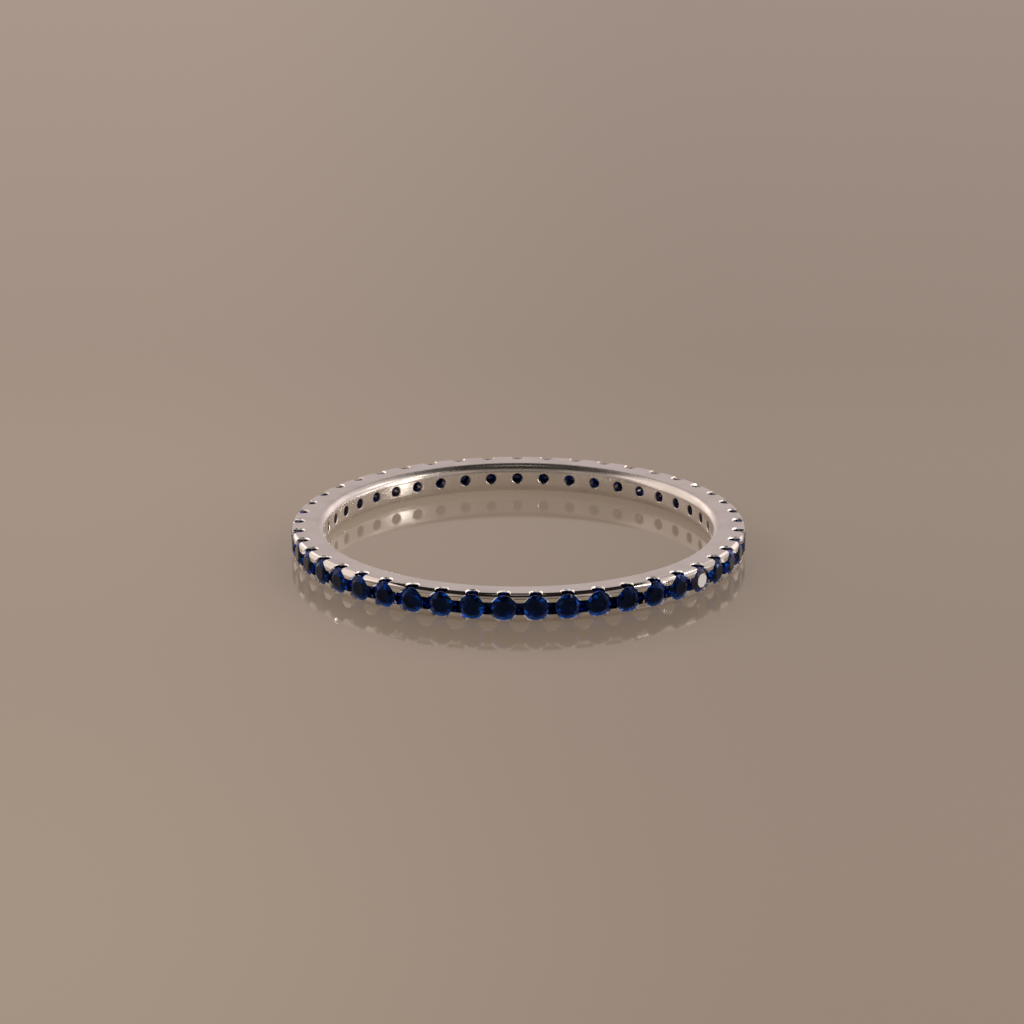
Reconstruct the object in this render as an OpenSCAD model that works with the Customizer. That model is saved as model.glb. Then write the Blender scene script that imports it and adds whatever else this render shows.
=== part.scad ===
// Eternity ring lying on its flat side: one band with its prongs, and a full row of round stones.
// Lengths are millimetres. Z runs along the finger, the stones face outward, and the front is -Y.
// The origin is the middle of the underside.

/* [Finger hole] */
// Inside diameter, which sets the ring size
finger_d = 16.9; // [14:0.1:21]
// Rounding of the two edges next to the finger
inner_edge_r = 0.38; // [0.05:0.01:0.4]

/* [Stones] */
// Diameter of a stone at its girdle
stone_d = 1.1; // [0.95:0.01:1.3]
// Least space between two neighbouring stones
stone_space = 0.25; // [0.2:0.01:0.4]
// Width of the flat table across its corners
table_d = 0.64; // [0.5:0.01:0.75]
// Height of the crown above the girdle
crown_h = 0.16; // [0.12:0.01:0.2]
// Thickness of the girdle
girdle_t = 0.04; // [0.02:0.01:0.06]
// Depth of the pavilion below the girdle
pavilion_h = 0.47; // [0.42:0.01:0.52]

/* [Band] */
// Metal between the finger hole and the floor of the outer groove
back_t = 0.77; // [0.6:0.01:1.2]
// Metal above and below each stone, which sets the height of the band
rim_over = 0.09; // [0.07:0.01:0.2]
// Rounding of the two edges round the outside
outer_edge_r = 0.25; // [0.05:0.01:0.28]
// Width of the groove between the upper and the lower prongs
groove_w = 0.54; // [0.5:0.01:0.62]

/* [Setting] */
// Clearance all round a stone in its seat
seat_clearance = 0.025; // [0.01:0.005:0.03]
// Space between the tip of a stone and the level of the groove's floor
culet_space = 0.03; // [0:0.01:0.1]
// Height of the tables above the outer faces of the prongs
table_rise = 0.02; // [0:0.01:0.05]
// How far the sloping sides of the prongs reach in over the girdle
grip = 0.01; // [0.005:0.005:0.02]
// Width of the bright-cut bevel on those sides
bright_cut = 0.06; // [0.03:0.01:0.08]
// Width of the notch that opens the rims at each stone
notch_w = 0.52; // [0.4:0.01:0.6]
// Depth of the notch from the outer faces
notch_depth = 0.53; // [0.4:0.01:0.6]
// Bevel of the notch's edges on the two flat sides
notch_bevel = 0.06; // [0.02:0.01:0.08]
// Diameter of the window behind each stone
window_d = 0.46; // [0.36:0.01:0.5]

/* [Hidden] */
finger_r = finger_d / 2;
stone_r = stone_d / 2;
band_h = stone_d + 2 * rim_over;
floor_r = finger_r + back_t;
culet_r = floor_r + culet_space;
girdle_r = culet_r + pavilion_h + girdle_t;
face_h = crown_h - table_rise;
outer_r = girdle_r + face_h;

stone_count = floor(2 * PI * girdle_r / (stone_d + stone_space));
pitch = 360 / stone_count;
// How far each stone is turned in its seat beyond the one before it, so that their facets differ
stone_turn = 28;

// A cut runs past the metal by this much
past = 0.3;
// Shares of a brilliant: how far the star facets reach to the girdle, and the lower halves to the tip
star_share = 0.5;
lower_share = 0.76;

// How many sides the drawn circles have: those of the whole ring, and the small ones
ring_fn = 180;
small_fn = 32;

function stone_name(i) = str("stone_", i < 10 ? "0" : "", i);

// The corner of a square that a quarter round leaves, with the round's centre at the origin
module corner_waste(r) {
    difference() {
        square(r + past);
        circle(r, $fn = small_fn);
    }
}

// Half of the band's section, above the middle: x is the radius and y the height
module half_section() {
    rail_h = (band_h - groove_w) / 2;
    difference() {
        union() {
            translate([finger_r, 0]) square([back_t, band_h / 2]);
            translate([floor_r - past, groove_w / 2]) square([outer_r - floor_r + past, rail_h]);
        }
        translate([outer_r - outer_edge_r, band_h / 2 - outer_edge_r]) corner_waste(outer_edge_r);
        translate([finger_r + inner_edge_r, band_h / 2 - inner_edge_r])
            mirror([1, 0]) corner_waste(inner_edge_r);
    }
}

module band_blank() {
    rotate_extrude($fn = ring_fn) {
        half_section();
        mirror([0, 1]) half_section();
    }
}

// Turns a shape to stone i. The front lies midway between the last stone and the first
module at_stone(i) {
    translate([0, 0, band_h / 2]) rotate([0, 0, (i - 0.5) * pitch - 90]) children();
}

// Turns a shape that stands on a stone's own axis outward, with the girdle's top at its height 0
module facing_out(i) {
    at_stone(i) translate([girdle_r, 0, 0]) rotate([0, 90, 0]) children();
}

// The drilled seat under one stone, and the window from its tip to the finger hole
module seat() {
    slope = pavilion_h / stone_r;
    drop = seat_clearance * sqrt(1 + slope * slope);
    cone_tip = -girdle_t - pavilion_h - drop;
    seat_r = stone_r + seat_clearance;
    window_r = window_d / 2;
    rotate_extrude($fn = small_fn) polygon([
        [0, finger_r - girdle_r - past],
        [window_r, finger_r - girdle_r - past],
        [window_r, cone_tip + window_r * slope],
        [seat_r, cone_tip + seat_r * slope],
        [seat_r, seat_clearance],
        [0, seat_clearance]
    ]);
}

// The eight-sided mouth above the seat. Its sloping sides shape the prongs and hold the girdle
module mouth() {
    sides = 8;
    flat = 180 / sides;
    spread = bright_cut / (face_h - seat_clearance);
    low_r = stone_r - grip - spread * seat_clearance;
    high_r = low_r + spread * (face_h + past);
    rotate([0, 0, flat])
        cylinder(h = face_h + past, r1 = low_r / cos(flat), r2 = high_r / cos(flat), $fn = sides);
}

// The notch through both rims: a slot with a round end, bevelled where it meets the flat sides
module rim_notch() {
    notch_r = notch_w / 2;
    bevel_end = [notch_r + notch_bevel + past, past];
    bevel_start = [notch_r, -notch_bevel];
    translate([outer_r - notch_depth + notch_r, 0, 0]) {
        translate([0, 0, -band_h / 2 - past]) linear_extrude(band_h + 2 * past) {
            circle(notch_r, $fn = small_fn);
            translate([0, -notch_r]) square([notch_depth + past, notch_w]);
        }
        for (side = [0, 1]) mirror([0, 0, side]) translate([0, 0, band_h / 2]) {
            rotate([0, 0, 90]) rotate_extrude(angle = 180, $fn = small_fn)
                polygon([[0, past], [0, -notch_bevel], bevel_start, bevel_end]);
            rotate([90, 0, 90]) linear_extrude(notch_depth + past)
                polygon([[-bevel_end[0], past], [-notch_r, -notch_bevel], bevel_start, bevel_end]);
        }
    }
}

module band() {
    color([0.78, 0.76, 0.75]) difference() {
        difference() {
            difference() {
                translate([0, 0, band_h / 2]) band_blank();
                for (i = [1:stone_count]) at_stone(i) rim_notch();
            }
            for (i = [1:stone_count]) facing_out(i) seat();
        }
        for (i = [1:stone_count]) facing_out(i) mouth();
    }
}

// Points on a circle of radius r at height z, starting half a step round where turn is 0.5
function circle_points(count, r, z, turn = 0) =
    [for (k = [0:count - 1]) [r * cos((k + turn) * 360 / count), r * sin((k + turn) * 360 / count), z]];

// A round brilliant with its table up and its girdle's top at height 0
module brilliant() {
    mains = 8;
    half_step = 180 / mains;
    crown_slope = crown_h / (stone_r - table_d / 2);
    pavilion_slope = pavilion_h / stone_r;
    table_flat_r = table_d / 2 * cos(half_step);
    star_r = table_flat_r + star_share * (stone_r - table_flat_r);
    star_z = crown_h - (star_r * cos(half_step) - table_d / 2) * crown_slope;
    lower_r = (1 - lower_share) * stone_r;
    tip_z = -girdle_t - pavilion_h;
    lower_z = tip_z + lower_r * cos(half_step) * pavilion_slope;

    points = concat(
        circle_points(mains, table_d / 2, crown_h),
        circle_points(mains, star_r, star_z, 0.5),
        circle_points(2 * mains, stone_r, 0),
        circle_points(2 * mains, stone_r, -girdle_t),
        circle_points(mains, lower_r, lower_z, 0.5),
        [[0, 0, tip_z]]
    );
    function table_pt(k) = k % mains;
    function star_pt(k) = mains + k % mains;
    function girdle_pt(k) = 2 * mains + k % (2 * mains);
    function under_pt(k) = 4 * mains + k % (2 * mains);
    function lower_pt(k) = 6 * mains + k % mains;
    tip_pt = 7 * mains;

    faces = concat(
        [[for (k = [mains - 1:-1:0]) table_pt(k)]],
        [for (k = [0:mains - 1]) [table_pt(k), table_pt(k + 1), star_pt(k)]],
        [for (k = [0:mains - 1]) [table_pt(k), star_pt(k), girdle_pt(2 * k), star_pt(k + mains - 1)]],
        [for (k = [0:mains - 1]) [star_pt(k), girdle_pt(2 * k + 1), girdle_pt(2 * k)]],
        [for (k = [0:mains - 1]) [star_pt(k), girdle_pt(2 * k + 2), girdle_pt(2 * k + 1)]],
        [for (k = [0:2 * mains - 1]) [girdle_pt(k), girdle_pt(k + 1), under_pt(k + 1), under_pt(k)]],
        [for (k = [0:mains - 1]) [lower_pt(k), under_pt(2 * k), under_pt(2 * k + 1)]],
        [for (k = [0:mains - 1]) [lower_pt(k), under_pt(2 * k + 1), under_pt(2 * k + 2)]],
        [for (k = [0:mains - 1]) [tip_pt, lower_pt(k + mains - 1), under_pt(2 * k), lower_pt(k)]]
    );
    polyhedron(points, faces);
}

module stone(i) {
    color([0.03, 0.07, 0.42]) facing_out(i) rotate([0, 0, i * stone_turn]) brilliant();
}

band();
for (i = [1:stone_count]) stone(i);
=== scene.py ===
import math

import bmesh
import bpy
from mathutils import Matrix, Vector


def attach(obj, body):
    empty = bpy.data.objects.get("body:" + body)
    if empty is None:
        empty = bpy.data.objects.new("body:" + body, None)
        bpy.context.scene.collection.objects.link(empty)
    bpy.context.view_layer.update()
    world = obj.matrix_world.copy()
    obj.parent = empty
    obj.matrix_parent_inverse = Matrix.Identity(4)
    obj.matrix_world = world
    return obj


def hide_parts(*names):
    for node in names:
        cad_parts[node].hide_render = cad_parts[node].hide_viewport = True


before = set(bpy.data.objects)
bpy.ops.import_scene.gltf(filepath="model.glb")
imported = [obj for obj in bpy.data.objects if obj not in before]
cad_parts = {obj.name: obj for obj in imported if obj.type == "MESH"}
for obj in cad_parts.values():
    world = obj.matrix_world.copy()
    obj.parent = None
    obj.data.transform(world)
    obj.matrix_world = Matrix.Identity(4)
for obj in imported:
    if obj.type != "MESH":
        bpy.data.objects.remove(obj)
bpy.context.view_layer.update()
print("frame loaded:", len(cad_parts), "nodes")

# the ring is modelled in millimetres and brought down to metres when it is finished
mm = 0.001
tiny = 0.001  # how far off a point may be when points are picked by their place, in millimetres
mergeWithin = 0.0005  # points nearer than this become one, in millimetres
sliver = 0.0004  # what the cuts leave that is narrower than this is closed, in millimetres
onPlane = 0.00001  # a point this near a cutting plane lies on it, in millimetres
pastMetal = 0.07  # how far the seat's drill starts before the metal, in millimetres

# all sizes in millimetres
band = {
    "stones": 45,
    "fingerRadius": 8.45,
    "outerRadius": 9.90,
    "height": 1.28,
    "innerRounding": 0.38,
    "outerRounding": 0.25,
    "grooveWidth": 0.54,
    "grooveFloor": 9.22,
    "girdleRadius": 9.76,  # the top of the stones' girdles
    "seatRadius": 0.575,
    "windowRadius": 0.23,
    "notchWidth": 0.52,
    "notchBack": 9.37,
    "notchReach": 0.8,  # how far the notch is drawn outward, past the rim
    "notchBevel": 0.06,
    "notchFlare": ((0.025, 0.006), (0.02, 0.016), (0.20, 0.22)),  # how far each step rises and widens
    "mouthSides": 8,
    "mouthAtGirdle": 0.53,  # half the width of the mouth
    "mouthSlope": 0.5,
    "mouthDepth": 0.44,
    "mouthCorner": 0.16,
    "cornerSteps": 4,
    "windowBevel": 0.03,
    "windowEnd": 0.3464,  # how far below the girdle's top the window opens into the cone
    "coneEnd": 0.0516,  # and where the cone ends in the wall round the girdle
    "wallTop": 0.025,  # this one is above the girdle's top
    "drillSides": 40,
    "roundSteps": 7,
    "turnSteps": 8,
    "overlap": 1.09,  # the blank is a little longer than one stone's share, and is trimmed at the end
    "smoothBelow": 32,  # edges flatter than this, in degrees, are shaded smooth
    "largeFaces": 80,  # how strongly the large faces lead in the shading
}


def pickOnly(piece):
    bpy.ops.object.select_all(action="DESELECT")
    piece.select_set(True)
    bpy.context.view_layer.objects.active = piece


def editPiece(piece):
    pickOnly(piece)
    bpy.ops.object.mode_set(mode="EDIT")
    bpy.ops.mesh.select_all(action="DESELECT")


def leaveEdit():
    bpy.ops.object.mode_set(mode="OBJECT")


def selectWhere(piece, kind, wanted):
    # selects the vertices, edges or faces that wanted() picks by their place
    bpy.ops.mesh.select_mode(type=kind)
    bpy.ops.mesh.select_all(action="DESELECT")
    cage = bmesh.from_edit_mesh(piece.data)
    for part in {"VERT": cage.verts, "EDGE": cage.edges, "FACE": cage.faces}[kind]:
        if wanted(part):
            part.select_set(True)
    bmesh.update_edit_mesh(piece.data)


def settle(piece):
    # the object goes to the origin, unturned and unscaled, and its place goes into the mesh
    pickOnly(piece)
    bpy.ops.object.transform_apply(location=True, rotation=True, scale=True)


def cutAway(piece, cutter):
    pickOnly(piece)
    cut = piece.modifiers.new("cut", "BOOLEAN")
    cut.operation = "DIFFERENCE"
    cut.solver = "EXACT"
    cut.material_mode = "TRANSFER"
    cut.object = cutter
    bpy.ops.object.modifier_apply(modifier=cut.name)
    bpy.data.objects.remove(cutter)


def makeBlank(halfAngle):
    # a stretch of plain band: the section is drawn flat, rounded at its corners and spun
    inner, outer, high = band["fingerRadius"], band["outerRadius"], band["height"] / 2
    grooveFloor, grooveSide, steps = band["grooveFloor"], band["grooveWidth"] / 2, band["roundSteps"]
    bpy.ops.mesh.primitive_plane_add(size=1, rotation=(math.pi / 2, 0, 0))
    blank = bpy.context.active_object
    blank.name = "bandStretch"
    blank.scale = (outer - inner, 2 * high, 1)
    blank.location = ((inner + outer) / 2, 0, 0)
    settle(blank)
    editPiece(blank)
    for radius, rounding in ((inner, band["innerRounding"]), (outer, band["outerRounding"])):
        selectWhere(blank, "VERT", lambda v: abs(v.co.x - radius) < tiny)
        bpy.ops.mesh.bevel(offset=rounding, segments=steps, affect="VERTICES", clamp_overlap=False)
    for place, normal in (
        ((0, 0, grooveSide), (0, 0, 1)),
        ((0, 0, -grooveSide), (0, 0, 1)),
        ((grooveFloor, 0, 0), (1, 0, 0)),
    ):
        bpy.ops.mesh.select_all(action="SELECT")
        bpy.ops.mesh.bisect(plane_co=place, plane_no=normal, use_fill=False)

    def inGroove(face):
        middle = face.calc_center_median()
        return middle.x > grooveFloor and abs(middle.z) < grooveSide / 2

    selectWhere(blank, "FACE", inGroove)
    bpy.ops.mesh.delete(type="FACE")
    bpy.ops.mesh.select_all(action="SELECT")
    bpy.ops.mesh.dissolve_faces()
    leaveEdit()
    blank.rotation_euler.z = -halfAngle
    settle(blank)
    editPiece(blank)
    bpy.ops.mesh.select_all(action="SELECT")
    bpy.ops.mesh.spin(steps=band["turnSteps"], angle=2 * halfAngle, center=(0, 0, 0), axis=(0, 0, -1))
    bpy.ops.mesh.select_all(action="SELECT")
    bpy.ops.mesh.remove_doubles(threshold=mergeWithin)
    bpy.ops.mesh.normals_make_consistent(inside=False)
    leaveEdit()
    return blank


def finish(piece, wanted):
    # every piece has the polished and the satin finish, and wanted() picks the satin faces
    for material in (polished, satin):
        piece.data.materials.append(material)
    editPiece(piece)
    selectWhere(piece, "FACE", wanted)
    piece.active_material_index = 1
    bpy.ops.object.material_slot_assign()
    leaveEdit()


def makeNotchCutter():
    # a round bar that widens at both ends, with its outer side drawn out past the rim
    radius = band["notchWidth"] / 2
    middle = band["notchBack"] + radius
    straight = band["height"] / 2 - band["notchBevel"]
    bpy.ops.mesh.primitive_cylinder_add(
        vertices=band["drillSides"], radius=radius, depth=2 * straight, location=(middle, 0, 0)
    )
    cutter = bpy.context.active_object
    settle(cutter)
    editPiece(cutter)
    for side in (1, -1):
        selectWhere(cutter, "FACE", lambda f: f.calc_center_median().z * side > straight - tiny)
        level, size = straight, radius
        for rise, wider in band["notchFlare"]:
            bpy.ops.mesh.extrude_region_move(TRANSFORM_OT_translate={"value": (0, 0, side * rise)})
            level += rise
            grow = (size + wider) / size
            bpy.ops.transform.resize(value=(grow, grow, 1), center_override=(middle, 0, side * level))
            size += wider
    selectWhere(cutter, "VERT", lambda v: v.co.x > middle + tiny)
    bpy.ops.transform.translate(value=(band["notchReach"], 0, 0))
    leaveEdit()
    finish(cutter, lambda f: abs(f.calc_center_median().z) > straight + tiny)
    return cutter


def makeSeatCutter():
    # the drill's shape: the window with its eased edge, the cone under the stone and the girdle's wall
    window, eased, girdle = band["windowRadius"], band["windowBevel"], band["girdleRadius"]
    start = band["fingerRadius"] - pastMetal
    stations = (
        (band["fingerRadius"] + eased, window),
        (girdle - band["windowEnd"], window),
        (girdle - band["coneEnd"], band["seatRadius"]),
        (girdle + band["wallTop"], band["seatRadius"]),
    )
    size = window + eased + pastMetal
    bpy.ops.mesh.primitive_circle_add(
        vertices=band["drillSides"], radius=size, fill_type="NGON",
        location=(start, 0, 0), rotation=(0, math.pi / 2, 0),
    )
    cutter = bpy.context.active_object
    settle(cutter)
    editPiece(cutter)
    bpy.ops.mesh.select_all(action="SELECT")
    place = start
    for station, radius in stations:
        bpy.ops.mesh.extrude_region_move(TRANSFORM_OT_translate={"value": (station - place, 0, 0)})
        grow = radius / size
        bpy.ops.transform.resize(value=(1, grow, grow), center_override=(station, 0, 0))
        place, size = station, radius
    bpy.ops.mesh.select_all(action="SELECT")
    bpy.ops.mesh.normals_make_consistent(inside=False)
    leaveEdit()
    finish(cutter, lambda f: f.calc_center_median().x < band["fingerRadius"] + eased)
    return cutter


def makeMouthCutter():
    # an eight-sided tool that leaves the prongs' sloping sides, with its corners eased
    depth, low, sides = band["mouthDepth"], band["mouthAtGirdle"], band["mouthSides"]
    high = low + band["mouthSlope"] * depth
    half = math.pi / sides
    toCorner = 1 / math.cos(half)
    bpy.ops.mesh.primitive_cone_add(
        vertices=sides, radius1=low * toCorner, radius2=high * toCorner, depth=depth,
        location=(0, 0, depth / 2), rotation=(0, 0, half),
    )
    cutter = bpy.context.active_object
    settle(cutter)
    editPiece(cutter)
    selectWhere(cutter, "EDGE", lambda e: abs(e.verts[0].co.z - e.verts[1].co.z) > depth / 2)
    bpy.ops.mesh.bevel(
        offset=band["mouthCorner"], segments=band["cornerSteps"], affect="EDGES", clamp_overlap=False
    )
    leaveEdit()
    cutter.rotation_euler.y = math.pi / 2
    cutter.location.x = band["girdleRadius"]
    settle(cutter)
    finish(cutter, lambda f: True)
    return cutter


def makeBand():
    pitch = 2 * math.pi / band["stones"]
    piece = makeBlank(pitch / 2 * band["overlap"])
    finish(piece, lambda f: False)
    for cutter in (makeNotchCutter(), makeSeatCutter(), makeMouthCutter()):
        cutAway(piece, cutter)
    editPiece(piece)
    bpy.ops.mesh.select_all(action="SELECT")
    bpy.ops.mesh.remove_doubles(threshold=sliver)
    bpy.ops.mesh.dissolve_degenerate(threshold=sliver)
    leaveEdit()
    # one quarter of the stretch is kept and mirrored, so that all stretches meet point to point
    editPiece(piece)
    for normal in ((-math.sin(pitch / 2), math.cos(pitch / 2), 0), (0, -1, 0), (0, 0, -1)):
        bpy.ops.mesh.select_all(action="SELECT")
        bpy.ops.mesh.bisect(
            plane_co=(0, 0, 0), plane_no=normal, use_fill=False, clear_outer=True, threshold=onPlane
        )
    leaveEdit()
    mirror = piece.modifiers.new("mirror", "MIRROR")
    mirror.use_axis = (False, True, True)
    mirror.merge_threshold = mergeWithin
    bpy.ops.object.modifier_apply(modifier=mirror.name)
    print("one stretch of the band:", len(piece.data.polygons), "faces")
    return piece


def ringOf(piece, name):
    # the stretch is copied round the ring and the copies are merged
    count = band["stones"]
    copies = []
    for turn in range(count):
        copy = piece.copy()
        copy.data = piece.data.copy()
        bpy.context.scene.collection.objects.link(copy)
        angle = (turn + 0.5) * 2 * math.pi / count - math.pi / 2  # the front is -Y
        copy.data.transform(Matrix.Rotation(angle, 4, "Z"))
        copies.append(copy)
    bpy.data.objects.remove(piece)
    bpy.ops.object.select_all(action="DESELECT")
    for copy in copies:
        copy.select_set(True)
    bpy.context.view_layer.objects.active = copies[0]
    bpy.ops.object.join()
    ring = bpy.context.active_object
    ring.name = name
    editPiece(ring)
    bpy.ops.mesh.select_all(action="SELECT")
    bpy.ops.mesh.remove_doubles(threshold=mergeWithin)
    bpy.ops.mesh.normals_make_consistent(inside=False)
    leaveEdit()
    ring.location.z = band["height"] / 2 * mm
    ring.scale = (mm, mm, mm)
    settle(ring)
    return ring


def smoothRing(ring):
    pickOnly(ring)
    bpy.ops.object.shade_smooth_by_angle(angle=math.radians(band["smoothBelow"]))
    even = ring.modifiers.new("even", "WEIGHTED_NORMAL")
    even.keep_sharp = True
    even.weight = band["largeFaces"]
    bpy.ops.object.modifier_apply(modifier=even.name)


def newMaterial(name):
    material = bpy.data.materials.new(name)
    material.use_nodes = True
    nodes = material.node_tree.nodes
    return material, nodes, material.node_tree.links, nodes["Principled BSDF"]


silver = {
    "colour": (0.90, 0.875, 0.855, 1),
    "dull": (0.80, 0.765, 0.74, 1),
    "cloudScale": 900,
    "cloudDetail": 5,
    "cloudTone": (0.45, 0.75),  # how much of the cloud turns the colour dull
    "cloudRough": (0.3, 0.7),  # and how much of it turns the surface from polished to rougher
    "roughness": (0.05, 0.12),
    "lineScale": 9000,  # fine polishing lines that run round the ring
    "lineDetail": 4,
    "lineStretch": 0.0006,
    "lineDepth": 0.000004,
    "lineStrength": 0.10,
    "wornEdge": (8.80, 8.94),  # the finger wall is a little softer from wear, inside these radii
    "wornRoughness": 0.19,
    "paintedSpark": (0.0, 0.06, 0.85, 1),  # painted light: blue sparks standing for the light that the stones throw into the groove
    "sparkSize": 0.11,
    "sparkStrength": 0.12,
    "sparkRarity": (0.86, 0.97),
    "recessShade": (0.009, 0.019, 0.066, 1),  # painted shade and a painted blue reflection of the stones, in the groove, seats and notches
    "recessShadeStart": (8.68, 8.90),  # radii between which the painted shade begins, millimetres
    "recessShadeEnd": (9.50, 9.62),  # radii between which it ends
    "recessShadeHeight": (0.52, 0.61),  # heights above and below the middle between which it ends
}


def radiusAndHeight(nodes, links, place):
    # the distance from the finger's axis and the height above or below the band's middle, in metres
    split = nodes.new("ShaderNodeSeparateXYZ")
    links.new(place.outputs["Object"], split.inputs["Vector"])
    flat = nodes.new("ShaderNodeCombineXYZ")
    links.new(split.outputs["X"], flat.inputs["X"])
    links.new(split.outputs["Y"], flat.inputs["Y"])
    radius = nodes.new("ShaderNodeVectorMath")
    radius.operation = "LENGTH"
    links.new(flat.outputs["Vector"], radius.inputs[0])
    above = nodes.new("ShaderNodeMath")
    above.operation = "SUBTRACT"
    above.inputs[1].default_value = band["height"] / 2 * mm
    links.new(split.outputs["Z"], above.inputs[0])
    return split, radius.outputs["Value"], above.outputs["Value"]


def fade(nodes, links, value, start, end, low=0.0, high=1.0):
    # goes from low to high while the value goes from start to end
    ramp = nodes.new("ShaderNodeMapRange")
    ramp.interpolation_type = "SMOOTHSTEP"
    ramp.inputs["From Min"].default_value = start
    ramp.inputs["From Max"].default_value = end
    ramp.inputs["To Min"].default_value = low
    ramp.inputs["To Max"].default_value = high
    links.new(value, ramp.inputs["Value"])
    return ramp.outputs["Result"]


def maths(nodes, links, operation, first, second=None):
    node = nodes.new("ShaderNodeMath")
    node.operation = operation
    for socket, value in zip(node.inputs, (first, second)):
        if isinstance(value, (int, float)):
            socket.default_value = value
        elif value is not None:
            links.new(value, socket)
    return node.outputs["Value"]


def makeSilver():
    material, nodes, links, shader = newMaterial("polishedSilver")
    shader.inputs["Metallic"].default_value = 1
    place = nodes.new("ShaderNodeTexCoord")
    cloud = nodes.new("ShaderNodeTexNoise")
    cloud.inputs["Scale"].default_value = silver["cloudScale"]
    cloud.inputs["Detail"].default_value = silver["cloudDetail"]
    links.new(place.outputs["Object"], cloud.inputs["Vector"])
    tone = nodes.new("ShaderNodeMix")
    tone.data_type = "RGBA"
    tone.inputs["A"].default_value = silver["colour"]
    tone.inputs["B"].default_value = silver["dull"]
    spread = nodes.new("ShaderNodeMapRange")
    spread.inputs["From Min"].default_value = silver["cloudTone"][0]
    spread.inputs["From Max"].default_value = silver["cloudTone"][1]
    links.new(cloud.outputs["Fac"], spread.inputs["Value"])
    links.new(spread.outputs["Result"], tone.inputs["Factor"])
    split, radius, above = radiusAndHeight(nodes, links, place)
    away = maths(nodes, links, "ABSOLUTE", above)
    # painted shade and a painted blue reflection of the stones, in the groove, seats and notches
    inside = fade(nodes, links, radius, silver["recessShadeEnd"][1] * mm, silver["recessShadeEnd"][0] * mm)
    outside = fade(nodes, links, radius, silver["recessShadeStart"][0] * mm, silver["recessShadeStart"][1] * mm)
    level = fade(nodes, links, away, silver["recessShadeHeight"][1] * mm, silver["recessShadeHeight"][0] * mm)
    recessShadeMask = maths(nodes, links, "MULTIPLY", maths(nodes, links, "MULTIPLY", inside, outside), level)
    recessShadeMix = nodes.new("ShaderNodeMix")
    recessShadeMix.data_type = "RGBA"
    recessShadeMix.inputs["B"].default_value = silver["recessShade"]
    links.new(recessShadeMask, recessShadeMix.inputs["Factor"])
    # painted light: blue sparks that glow inside the painted shade of the groove
    cells = nodes.new("ShaderNodeTexVoronoi")
    cells.inputs["Scale"].default_value = 1 / (silver["sparkSize"] * mm)
    links.new(place.outputs["Object"], cells.inputs["Vector"])
    pick = nodes.new("ShaderNodeSeparateColor")
    links.new(cells.outputs["Color"], pick.inputs["Color"])
    lit = fade(nodes, links, pick.outputs["Green"], *silver["sparkRarity"], 0.0, silver["sparkStrength"])
    shader.inputs["Emission Color"].default_value = silver["paintedSpark"]
    links.new(maths(nodes, links, "MULTIPLY", lit, recessShadeMask), shader.inputs["Emission Strength"])
    links.new(tone.outputs["Result"], recessShadeMix.inputs["A"])
    links.new(recessShadeMix.outputs["Result"], shader.inputs["Base Color"])
    rough = nodes.new("ShaderNodeMapRange")
    rough.inputs["From Min"].default_value = silver["cloudRough"][0]
    rough.inputs["From Max"].default_value = silver["cloudRough"][1]
    rough.inputs["To Min"].default_value = silver["roughness"][0]
    rough.inputs["To Max"].default_value = silver["roughness"][1]
    links.new(cloud.outputs["Fac"], rough.inputs["Value"])
    wornTo, wornFrom = silver["wornEdge"]
    worn = fade(nodes, links, radius, wornFrom * mm, wornTo * mm, 0.0, silver["wornRoughness"])
    links.new(maths(nodes, links, "ADD", rough.outputs["Result"], worn), shader.inputs["Roughness"])
    # the polishing lines
    angle = maths(nodes, links, "ARCTAN2", split.outputs["Y"], split.outputs["X"])
    turned = maths(nodes, links, "MULTIPLY", angle, silver["lineStretch"])
    along = nodes.new("ShaderNodeCombineXYZ")
    for socket, value in zip(along.inputs, (radius, turned, above)):
        links.new(value, socket)
    lines = nodes.new("ShaderNodeTexNoise")
    lines.inputs["Scale"].default_value = silver["lineScale"]
    lines.inputs["Detail"].default_value = silver["lineDetail"]
    links.new(along.outputs["Vector"], lines.inputs["Vector"])
    bump = nodes.new("ShaderNodeBump")
    bump.inputs["Strength"].default_value = silver["lineStrength"]
    bump.inputs["Distance"].default_value = silver["lineDepth"]
    links.new(lines.outputs["Fac"], bump.inputs["Height"])
    links.new(bump.outputs["Normal"], shader.inputs["Normal"])
    return material


cutEdge = {
    "colour": (0.95, 0.92, 0.89, 1),
    "dull": (0.82, 0.78, 0.75, 1),
    "grainScale": 5000,
    "grainDetail": 3,
    "grainRough": (0.3, 0.7),
    "roughness": (0.30, 0.50),
    "paintedGlint": (1.0, 0.93, 0.87, 1),  # a painted highlight: they glow as if they caught the light from all sides, here more and there less
    "glintStrength": (0.04, 0.62),
    "glintSpread": (0.40, 0.66),
    "glintSize": 0.22,
    "glintRadius": (9.25, 9.35),  # no painted glints round the windows, inside these radii
    "underside": 0.35,  # how much of the painted glint is left below the stones
    "undersideHeight": (-0.20, 0.15),
}


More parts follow.
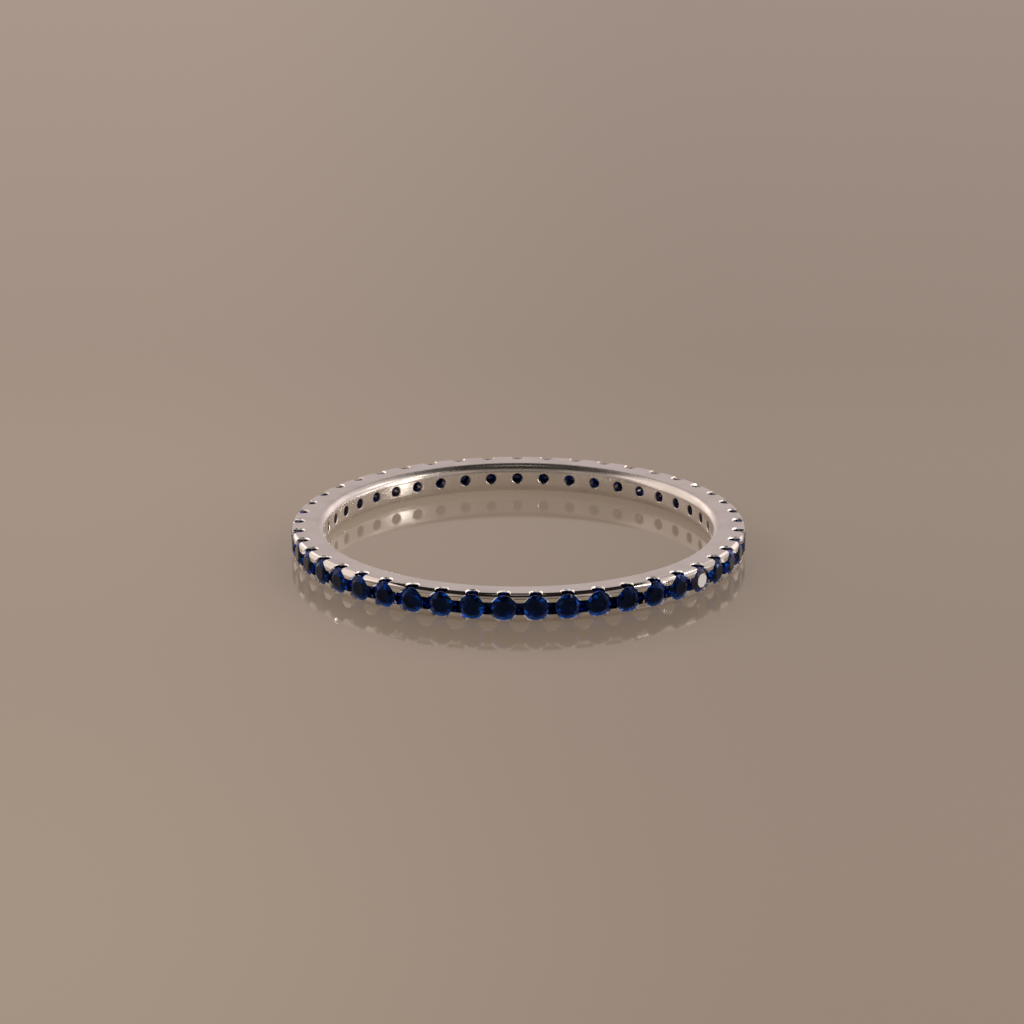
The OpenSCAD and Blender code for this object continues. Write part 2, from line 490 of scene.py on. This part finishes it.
def makeCutEdge():
    # the narrow bright cuts round the mouths, notches and windows have a satin finish and a painted
    # highlight
    material, nodes, links, shader = newMaterial("satinCutEdge")
    shader.inputs["Metallic"].default_value = 1
    place = nodes.new("ShaderNodeTexCoord")
    cloud = nodes.new("ShaderNodeTexNoise")
    cloud.inputs["Scale"].default_value = cutEdge["grainScale"]
    cloud.inputs["Detail"].default_value = cutEdge["grainDetail"]
    links.new(place.outputs["Object"], cloud.inputs["Vector"])
    tone = nodes.new("ShaderNodeMix")
    tone.data_type = "RGBA"
    tone.inputs["A"].default_value = cutEdge["colour"]
    tone.inputs["B"].default_value = cutEdge["dull"]
    links.new(cloud.outputs["Fac"], tone.inputs["Factor"])
    links.new(tone.outputs["Result"], shader.inputs["Base Color"])
    rough = fade(nodes, links, cloud.outputs["Fac"], *cutEdge["grainRough"], *cutEdge["roughness"])
    links.new(rough, shader.inputs["Roughness"])
    _, radius, above = radiusAndHeight(nodes, links, place)
    # painted highlight: patches of glow on the cuts, weaker below the stones and none round the windows
    start, end = cutEdge["glintRadius"]
    outer = fade(nodes, links, radius, start * mm, end * mm)
    patch = nodes.new("ShaderNodeTexNoise")
    patch.inputs["Scale"].default_value = 1 / (cutEdge["glintSize"] * mm)
    patch.inputs["Detail"].default_value = 1
    links.new(place.outputs["Object"], patch.inputs["Vector"])
    strength = fade(nodes, links, patch.outputs["Fac"], *cutEdge["glintSpread"], *cutEdge["glintStrength"])
    low, high = cutEdge["undersideHeight"]
    upper = fade(nodes, links, above, low * mm, high * mm, cutEdge["underside"], 1.0)
    shader.inputs["Emission Color"].default_value = cutEdge["paintedGlint"]
    shine = maths(nodes, links, "MULTIPLY", strength, maths(nodes, links, "MULTIPLY", outer, upper))
    links.new(shine, shader.inputs["Emission Strength"])
    return material


stone = {
    "colour": (0.001, 0.013, 0.080, 1),
    "paintedDarkMiddle": (0.001, 0.003, 0.016, 1),
    "rimEdge": (0.24, 0.50),  # distances from a stone's own axis between which the painted shade of the middle turns to the stone's own colour
    "paintedGlow": (0.002, 0.115, 0.40, 1),  # painted light, standing for the light that comes back through the rim
    "glowStrength": 0.25,
    "lowGlow": 0.6,
    "lowEdge": (-0.18, -0.52),  # heights between which the low glow comes up
    # painted sparks of light on the rim
    "paintedSpark": (0.0, 0.085, 0.52, 1),
    "sparkSize": 0.13,
    "sparkRarity": (0.84, 0.97),
    "sparkStrength": (0.02, 2.0),
    "shine": (0.13, 0.21, 0.44, 1),
    "roughness": 0.015,
    "ior": 1.77,
    "waveScale": 6000,
    "waveDepth": 0.0000015,
}


def makeBlueStone(name, lean=0, shine=stone["shine"]):
    # lean is how many degrees a stone's table looks up from upright
    material, nodes, links, shader = newMaterial(name)
    shader.inputs["Transmission Weight"].default_value = 1
    shader.inputs["IOR"].default_value = stone["ior"]
    shader.inputs["Roughness"].default_value = stone["roughness"]
    shader.inputs["Specular Tint"].default_value = shine
    place = nodes.new("ShaderNodeTexCoord")
    # the distance from each stone's own axis, along the finger and round the ring from stone to stone
    split, _, above = radiusAndHeight(nodes, links, place)
    turn = maths(nodes, links, "ARCTAN2", split.outputs["Y"], split.outputs["X"])
    pitch = 2 * math.pi / band["stones"]
    fromFront = maths(nodes, links, "ADD", turn, 2.5 * math.pi)  # the front is -Y, and it stays above zero
    part = maths(nodes, links, "FRACT", maths(nodes, links, "DIVIDE", fromFront, pitch))
    offMiddle = maths(nodes, links, "SUBTRACT", part, 0.5)
    across = maths(nodes, links, "MULTIPLY", offMiddle, pitch * band["girdleRadius"] * mm)
    offAxis = nodes.new("ShaderNodeCombineXYZ")
    links.new(across, offAxis.inputs["X"])
    links.new(above, offAxis.inputs["Y"])
    spread = nodes.new("ShaderNodeVectorMath")
    spread.operation = "LENGTH"
    links.new(offAxis.outputs["Vector"], spread.inputs[0])
    # painted shade: each stone is darker in its middle than at its rim, where it has its own blue
    darkMiddleEnd, rimStart = stone["rimEdge"]
    rim = fade(nodes, links, spread.outputs["Value"], darkMiddleEnd * mm, rimStart * mm)
    tone = nodes.new("ShaderNodeMix")
    tone.data_type = "RGBA"
    tone.inputs["A"].default_value = stone["paintedDarkMiddle"]
    tone.inputs["B"].default_value = stone["colour"]
    links.new(rim, tone.inputs["Factor"])
    links.new(tone.outputs["Result"], shader.inputs["Base Color"])
    # painted light: small angular sparks all round the rim, and a softer painted glow low on it
    cells = nodes.new("ShaderNodeTexVoronoi")
    cells.inputs["Scale"].default_value = 1 / (stone["sparkSize"] * mm)
    links.new(place.outputs["Object"], cells.inputs["Vector"])
    pick = nodes.new("ShaderNodeSeparateColor")
    links.new(cells.outputs["Color"], pick.inputs["Color"])
    lit = fade(nodes, links, pick.outputs["Red"], *stone["sparkRarity"], *stone["sparkStrength"])
    lowStart, lowEnd = stone["lowEdge"]
    low = fade(nodes, links, above, lowStart * mm, lowEnd * mm, 0.0, stone["lowGlow"])
    paintedGlow = maths(nodes, links, "MULTIPLY", maths(nodes, links, "ADD", lit, low), rim)
    light = nodes.new("ShaderNodeMix")
    light.data_type = "RGBA"
    light.inputs["A"].default_value = stone["paintedGlow"]
    light.inputs["B"].default_value = stone["paintedSpark"]
    links.new(lit, light.inputs["Factor"])
    links.new(light.outputs["Result"], shader.inputs["Emission Color"])
    strength = maths(nodes, links, "MULTIPLY", paintedGlow, stone["glowStrength"])
    links.new(strength, shader.inputs["Emission Strength"])
    # the faint waves that polishing leaves on a facet, and the lean
    waves = nodes.new("ShaderNodeTexNoise")
    waves.inputs["Scale"].default_value = stone["waveScale"]
    links.new(place.outputs["Object"], waves.inputs["Vector"])
    ripple = maths(nodes, links, "MULTIPLY", waves.outputs["Fac"], stone["waveDepth"])
    slope = maths(nodes, links, "MULTIPLY", above, -math.tan(math.radians(lean)))
    bump = nodes.new("ShaderNodeBump")
    bump.inputs["Distance"].default_value = 1
    links.new(maths(nodes, links, "ADD", ripple, slope), bump.inputs["Height"])
    links.new(bump.outputs["Normal"], shader.inputs["Normal"])
    return material


def dress(piece, material):
    piece.data.materials.clear()
    piece.data.materials.append(material)


stage = {
    "floorColour": (0.16, 0.135, 0.112, 1),
    "floorGlow": (0.176, 0.134, 0.100, 1),  # a light table: the floor is lit from below as well
    "floorRoughness": 0.075,
    "floorShine": 0.4,
    "floorIor": 1.45,
    "cloudScale": 14,
    "cloudDetail": 3,
    "cloudShade": 0.96,
    "floorSize": 3.0,
    # where the light table's strength changes, in metres, and from what to what
    "sideLight": (-0.020, 0.012, 1.30, 0.99),
    "backLight": (0.010, 0.035, 1.0, 0.88),
    "frontLight": (-0.008, -0.05, 1.0, 1.13),
    "shade": 0.25,  # how much of it the painted shadow takes away close in front of the ring
    "shadeMiddle": (0, -0.003, 0),
    "shadeReach": (0.0070, 0.0135),
    "ringReach": (0.0080, 0.0096),
    "shadeInside": 0.15,  # the share of the painted shadow inside the ring
}


def makeFloor():
    bpy.ops.mesh.primitive_plane_add(size=stage["floorSize"], location=(0, 0, 0))
    floor = bpy.context.active_object
    floor.name = "floor"
    material, nodes, links, shader = newMaterial("paleFloor")
    shader.inputs["IOR"].default_value = stage["floorIor"]
    place = nodes.new("ShaderNodeTexCoord")
    cloud = nodes.new("ShaderNodeTexNoise")
    cloud.inputs["Scale"].default_value = stage["cloudScale"]
    cloud.inputs["Detail"].default_value = stage["cloudDetail"]
    links.new(place.outputs["Object"], cloud.inputs["Vector"])
    tone = nodes.new("ShaderNodeMix")
    tone.data_type = "RGBA"
    tone.inputs["A"].default_value = stage["floorColour"]
    tone.inputs["B"].default_value = [c * stage["cloudShade"] for c in stage["floorColour"][:3]] + [1]
    links.new(cloud.outputs["Fac"], tone.inputs["Factor"])
    links.new(tone.outputs["Result"], shader.inputs["Base Color"])
    shader.inputs["Roughness"].default_value = stage["floorRoughness"]
    shader.inputs["Specular IOR Level"].default_value = stage["floorShine"]
    shader.inputs["Emission Color"].default_value = stage["floorGlow"]
    # the light table is brighter towards the left and the front, and dimmer towards the back
    split = nodes.new("ShaderNodeSeparateXYZ")
    links.new(place.outputs["Object"], split.inputs["Vector"])
    side = fade(nodes, links, split.outputs["X"], *stage["sideLight"])
    back = fade(nodes, links, split.outputs["Y"], *stage["backLight"])
    front = fade(nodes, links, split.outputs["Y"], *stage["frontLight"])
    even = maths(nodes, links, "MULTIPLY", side, maths(nodes, links, "MULTIPLY", back, front))
    # and dimmer close in front of the ring: a painted shadow, as if the ring kept the room's light off it
    near = nodes.new("ShaderNodeVectorMath")
    near.operation = "DISTANCE"
    near.inputs[1].default_value = stage["shadeMiddle"]
    links.new(place.outputs["Object"], near.inputs[0])
    reach = nodes.new("ShaderNodeVectorMath")
    reach.operation = "LENGTH"
    links.new(place.outputs["Object"], reach.inputs[0])
    shade = fade(nodes, links, near.outputs["Value"], *stage["shadeReach"], stage["shade"], 0.0)
    outside = fade(nodes, links, reach.outputs["Value"], *stage["ringReach"], stage["shadeInside"], 1.0)
    dimmed = maths(nodes, links, "SUBTRACT", 1.0, maths(nodes, links, "MULTIPLY", shade, outside))
    links.new(maths(nodes, links, "MULTIPLY", even, dimmed), shader.inputs["Emission Strength"])
    dress(floor, material)


# turn from the front towards the right and rise, in degrees, then distance, width and height, in metres,
# brightness and colour
lights = {
    "frontPanel": (0, 24, 0.80, 1.20, 0.46, 0.22, (1.0, 0.82, 0.68)),
    "leftPanel": (-60, 26, 0.75, 0.72, 0.58, 0.26, (1.0, 0.83, 0.72)),
    "rightPanel": (60, 26, 0.75, 0.72, 0.58, 0.26, (1.0, 0.83, 0.72)),
    "topPanel": (0, 90, 0.70, 0.15, 0.15, 0.42, (1.0, 0.86, 0.80)),
    "backPanel": (174, 18, 0.70, 1.20, 0.51, 0.50, (1.0, 0.84, 0.81)),
    "leftBox": (-119, 26, 0.60, 0.88, 0.70, 0.85, (1.0, 0.84, 0.75)),
    "rightBox": (118, 27, 0.60, 0.82, 0.70, 0.58, (1.0, 0.87, 0.80)),
    "highLamp": (108, 38, 0.58, 0.10, 0.14, 2.5, (1.0, 0.93, 0.88)),
    "sideStrip": (74, 36, 0.60, 0.034, 0.34, 5.0, (1.0, 0.90, 0.80)),
    "sideLamp": (74, 14, 0.58, 0.045, 0.10, 34.0, (1.0, 0.90, 0.80)),
    "tableLamp": (101, 5.4, 0.55, 0.07, 0.06, 5.0, (1.0, 0.93, 0.88)),
}
roomColour = (0.015, 0.012, 0.010, 1)


def fromTurnAndRise(turn, rise):
    # the direction from the ring, turned from the front towards the right and raised, in degrees
    a, e = math.radians(turn), math.radians(rise)
    return Vector((math.sin(a) * math.cos(e), -math.cos(a) * math.cos(e), math.sin(e)))


def makeLights():
    for name, (turn, rise, distance, width, height, brightness, colour) in lights.items():
        data = bpy.data.lights.new(name, "AREA")
        data.shape = "RECTANGLE"
        data.size, data.size_y = width, height
        data.energy = brightness * math.pi * width * height
        data.color = colour
        lamp = bpy.data.objects.new(name, data)
        bpy.context.scene.collection.objects.link(lamp)
        out = fromTurnAndRise(turn, rise)
        lamp.location = out * distance
        lamp.rotation_euler = out.to_track_quat("Z", "Y").to_euler()
    world = bpy.data.worlds.new("room")
    bpy.context.scene.world = world
    world.use_nodes = True
    world.node_tree.nodes["Background"].inputs["Color"].default_value = roomColour


# the camera stands where the photograph's perspective puts it, and aims a little past the ring
view = {
    "target": (0, 0, 0.71),  # millimetres, as the distance is
    "distance": 262.9,
    "turn": -0.34,
    "height": 18.01,
    "pan": -0.0623,
    "tilt": 0.2192,
    "lens": 211.5,
    "sensor": 36,
    "clip": (0.01, 10),
}


def makeCamera():
    data = bpy.data.cameras.new("camera")
    camera = bpy.data.objects.new("camera", data)
    bpy.context.scene.collection.objects.link(camera)
    data.lens = view["lens"]
    data.sensor_width = view["sensor"]
    data.clip_start, data.clip_end = view["clip"]
    out = fromTurnAndRise(view["turn"], view["height"])
    camera.location = (Vector(view["target"]) + out * view["distance"]) * mm
    look = out.to_track_quat("Z", "Y").to_matrix()
    pan = Matrix.Rotation(math.radians(-view["pan"]), 3, "Y")
    tilt = Matrix.Rotation(math.radians(view["tilt"]), 3, "X")
    camera.rotation_euler = (look @ pan @ tilt).to_euler()
    bpy.context.scene.camera = camera
    bpy.context.scene.view_settings.view_transform = "Standard"


makeCamera()
makeFloor()
makeLights()
print("stage ready")

polished, satin = makeSilver(), makeCutEdge()
metal = ringOf(makeBand(), "bandMetal")
smoothRing(metal)
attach(metal, "root")
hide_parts("band")
print("band ready:", len(metal.data.polygons), "faces")

blue = makeBlueStone("blueStone")
leaning = {
    "stone_05": makeBlueStone("blueStoneLeaning", 9),
    "stone_07": makeBlueStone("blueStoneFlashing", 18, (1, 0.93, 0.88, 1)),
}
for name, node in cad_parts.items():
    if name.startswith("stone"):
        dress(node, leaning.get(name, blue))
print("stones ready")
